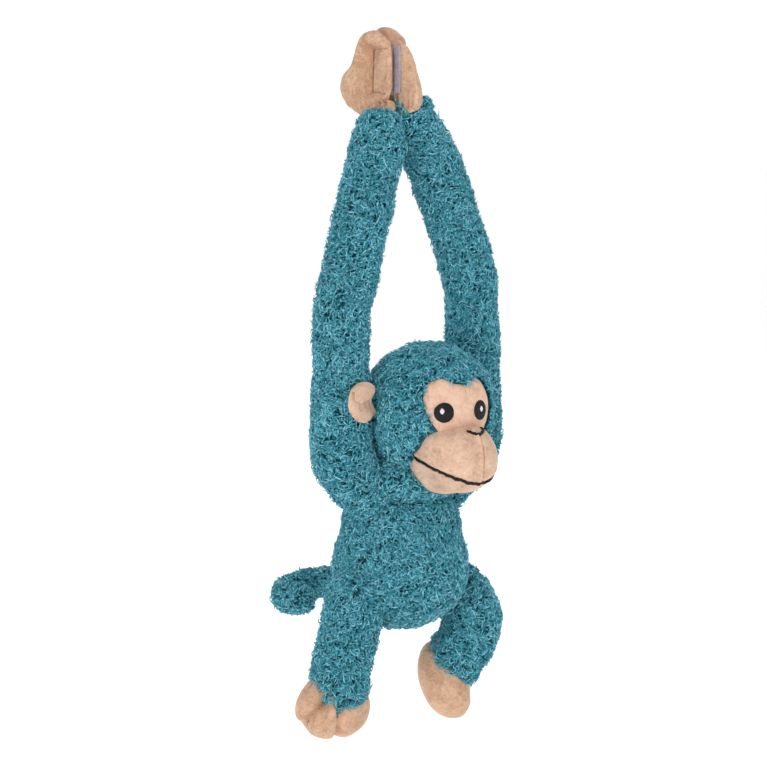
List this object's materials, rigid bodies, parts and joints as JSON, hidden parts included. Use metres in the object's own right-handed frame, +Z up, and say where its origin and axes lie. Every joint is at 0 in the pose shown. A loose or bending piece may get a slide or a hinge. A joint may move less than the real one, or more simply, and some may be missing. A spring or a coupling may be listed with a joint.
{
  "type": "stuffed monkey",
  "caption": "Long-armed hanging plush monkey with joined hands, curly pile covers, smooth face, ears, hands and feet, and a curled tail",
  "frame": {"origin": "the point under the joined palms where a rail or hook bears", "axes": "+Z up, the monkey faces -Y, its right side is -X"},
  "size_m": [0.1724, 0.1932, 0.496],
  "materials": {
    "teal_boucle": "curly short pile",
    "peach_velboa": "smooth short pile",
    "fibre_filling": "loose polyester fibre",
    "black_thread": "satin stitch",
    "white_thread": "satin stitch",
    "tan_thread": "matt thread",
    "hook_tape": "hook side of hook-and-loop tape",
    "loop_tape": "loop side of hook-and-loop tape"
  },
  "bodies": {
    "head": {"chin_cover": "peach_velboa", "face_patch": "peach_velboa", "head_filling": "fibre_filling", "head_gusset": "teal_boucle", "head_left_cover": "teal_boucle", "head_right_cover": "teal_boucle", "left_eye": "black_thread", "left_eye_glint": "white_thread", "mouth_stitch": "black_thread", "muzzle_filling": "fibre_filling", "muzzle_left_panel": "peach_velboa", "muzzle_right_panel": "peach_velboa", "neck_filling": "fibre_filling", "nose_stitch": "black_thread", "right_eye": "black_thread", "right_eye_glint": "white_thread"},
    "left_ear": {"left_ear_back": "peach_velboa", "left_ear_front": "peach_velboa"},
    "left_foot": {"left_foot_filling": "fibre_filling", "left_foot_sole": "peach_velboa", "left_foot_upper": "peach_velboa", "left_toe_stitches": "tan_thread"},
    "left_forearm": {"left_forearm_filling": "fibre_filling", "left_forearm_sleeve": "peach_velboa"},
    "left_hand": {"left_hand_back": "peach_velboa", "left_hand_filling": "fibre_filling", "left_hand_palm": "peach_velboa", "left_loop_pad": "loop_tape"},
    "left_leg": {"left_leg_cover": "teal_boucle", "left_leg_filling": "fibre_filling"},
    "left_upper_arm": {"left_upper_arm_filling": "fibre_filling", "left_upper_sleeve": "teal_boucle"},
    "right_ear": {"right_ear_back": "peach_velboa", "right_ear_front": "peach_velboa"},
    "right_foot": {"right_foot_filling": "fibre_filling", "right_foot_sole": "peach_velboa", "right_foot_upper": "peach_velboa", "right_toe_stitches": "tan_thread"},
    "right_forearm": {"right_forearm_filling": "fibre_filling", "right_forearm_sleeve": "peach_velboa"},
    "right_hand": {"right_hand_back": "peach_velboa", "right_hand_filling": "fibre_filling", "right_hand_palm": "peach_velboa", "right_hook_pad": "hook_tape"},
    "right_leg": {"right_leg_cover": "teal_boucle", "right_leg_filling": "fibre_filling"},
    "right_upper_arm": {"right_upper_arm_filling": "fibre_filling", "right_upper_sleeve": "teal_boucle"},
    "tail": {"tail_cover": "teal_boucle", "tail_filling": "fibre_filling"},
    "torso": {"torso_back_cover": "teal_boucle", "torso_filling": "fibre_filling", "torso_front_cover": "teal_boucle"}
  },
  "joints": [
    {"name": "neck_nod", "type": "hinge", "parent": "torso", "child": "head", "pos_m": [0, -0.012, -0.256], "axis": [1, 0, 0], "range_deg": [0, 28], "stiffness_Nm_per_rad": 0.35},
    {"name": "right_ear_fold", "type": "hinge", "parent": "head", "child": "right_ear", "pos_m": [-0.0495, -0.0335, -0.2], "axis": [0, 0, 1], "range_deg": [0, 50], "stiffness_Nm_per_rad": 0.01},
    {"name": "left_ear_fold", "type": "hinge", "parent": "head", "child": "left_ear", "pos_m": [0.0495, -0.0335, -0.2], "axis": [0, 0, -1], "range_deg": [0, 50], "stiffness_Nm_per_rad": 0.01},
    {"name": "right_shoulder_spread", "type": "hinge", "parent": "torso", "child": "right_upper_arm", "pos_m": [-0.038, -0.007, -0.269], "axis": [0, -1, 0], "range_deg": [0, 90]},
    {"name": "left_shoulder_spread", "type": "hinge", "parent": "torso", "child": "left_upper_arm", "pos_m": [0.038, -0.007, -0.269], "axis": [0, 1, 0], "range_deg": [0, 90]},
    {"name": "right_elbow_bend", "type": "hinge", "parent": "right_upper_arm", "child": "right_forearm", "pos_m": [-0.061, -0.0075, -0.137], "axis": [1, 0, 0], "range_deg": [-50, 58]},
    {"name": "left_elbow_bend", "type": "hinge", "parent": "left_upper_arm", "child": "left_forearm", "pos_m": [0.061, -0.0075, -0.137], "axis": [1, 0, 0], "range_deg": [-50, 58]},
    {"name": "right_wrist_peel", "type": "hinge", "parent": "right_forearm", "child": "right_hand", "pos_m": [-0.0137, 0.0065, -0.001], "axis": [0, -1, 0], "range_deg": [0, 35]},
    {"name": "left_wrist_peel", "type": "hinge", "parent": "left_forearm", "child": "left_hand", "pos_m": [0.0137, 0.0065, -0.001], "axis": [0, 1, 0], "range_deg": [0, 35]},
    {"name": "right_hip_swing", "type": "hinge", "parent": "torso", "child": "right_leg", "pos_m": [-0.044, -0.003, -0.342], "axis": [-1, 0, 0], "range_deg": [-20, 40], "stiffness_Nm_per_rad": 0.12},
    {"name": "left_hip_swing", "type": "hinge", "parent": "torso", "child": "left_leg", "pos_m": [0.043, -0.008, -0.341], "axis": [-1, 0, 0], "range_deg": [-20, 40], "stiffness_Nm_per_rad": 0.12},
    {"name": "right_ankle_flex", "type": "hinge", "parent": "right_leg", "child": "right_foot", "pos_m": [-0.063, -0.004, -0.402], "axis": [-1, 0, 0], "range_deg": [-25, 25], "stiffness_Nm_per_rad": 0.04},
    {"name": "left_ankle_flex", "type": "hinge", "parent": "left_leg", "child": "left_foot", "pos_m": [0.041, -0.009, -0.397], "axis": [-1, 0, 0], "range_deg": [-25, 25], "stiffness_Nm_per_rad": 0.04},
    {"name": "tail_swing", "type": "hinge", "parent": "torso", "child": "tail", "pos_m": [0, 0.036, -0.347], "axis": [1, 0, 0], "range_deg": [-20, 20], "stiffness_Nm_per_rad": 0.12}
  ]
}
